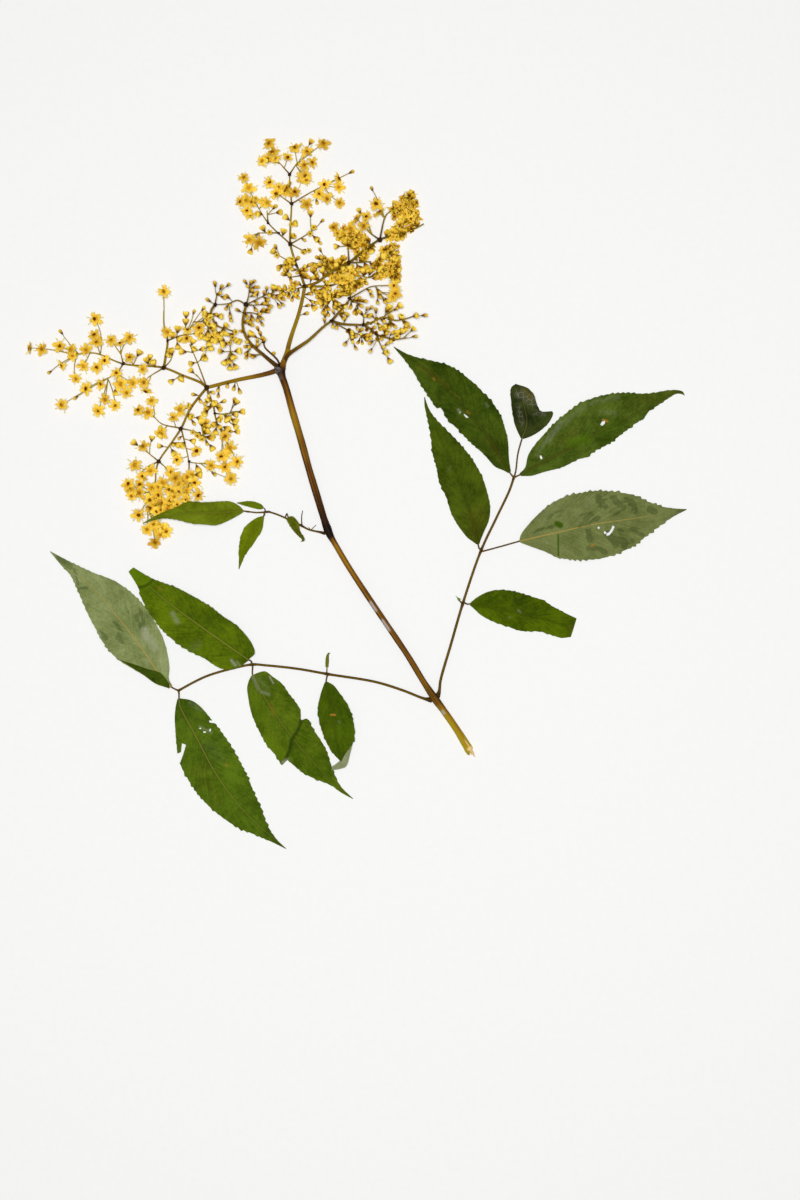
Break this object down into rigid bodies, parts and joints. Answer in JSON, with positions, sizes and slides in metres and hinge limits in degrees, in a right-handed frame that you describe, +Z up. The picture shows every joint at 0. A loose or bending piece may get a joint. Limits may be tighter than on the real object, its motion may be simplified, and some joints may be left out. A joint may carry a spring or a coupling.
{
  "type": "pressed elderberry flower sprig",
  "caption": "Pressed, dried sprig of an elderberry plant lying flat: a cut stem with a branched flat-topped cluster of open flowers and buds, and compound toothed leaves.",
  "frame": {"origin": "on the surface, under the middle of the sprig's box", "axes": "+Y from the lowest leaf tip towards the top of the flower cluster, +X to the sprig's right, +Z up away from the surface"},
  "size_m": [0.2489, 0.2665, 0.0061],
  "materials": {
    "stem": "dry brown bark of a pressed green shoot, golden where it is rubbed and nearly black at the joints",
    "leaf_stalk": "dry, dull olive brown",
    "leaf_top": "dry dark green blade with a finely wrinkled net of veins",
    "leaf_underside": "dry pale grey-green lower face with raised veins and an orange-brown midrib",
    "flowers": "dry papery golden yellow petals on thin olive-brown stalks"
  },
  "bodies": {
    "root": {"inner_left_spray": "flowers", "left_leaf_stalk": "leaf_stalk", "left_leaflet_1": "leaf_underside", "left_leaflet_2": "leaf_top", "left_leaflet_3": "leaf_top", "left_leaflet_4": "leaf_top", "left_leaflet_5": "leaf_top", "left_leaflet_6": "leaf_top", "left_spray": "flowers", "lower_right_spray": "flowers", "right_leaf_stalk": "leaf_stalk", "right_leaflet_1": "leaf_top", "right_leaflet_2": "leaf_top", "right_leaflet_3": "leaf_top", "right_leaflet_4": "leaf_top", "right_leaflet_5": "leaf_underside", "right_leaflet_6": "leaf_top", "small_leaf_stalk": "leaf_stalk", "small_leaflet_1": "leaf_top", "small_leaflet_2": "leaf_top", "small_leaflet_3": "leaf_top", "small_leaflet_4": "leaf_top", "small_spray": "flowers", "stem": "stem", "top_spray": "flowers"}
  },
  "joints": []
}
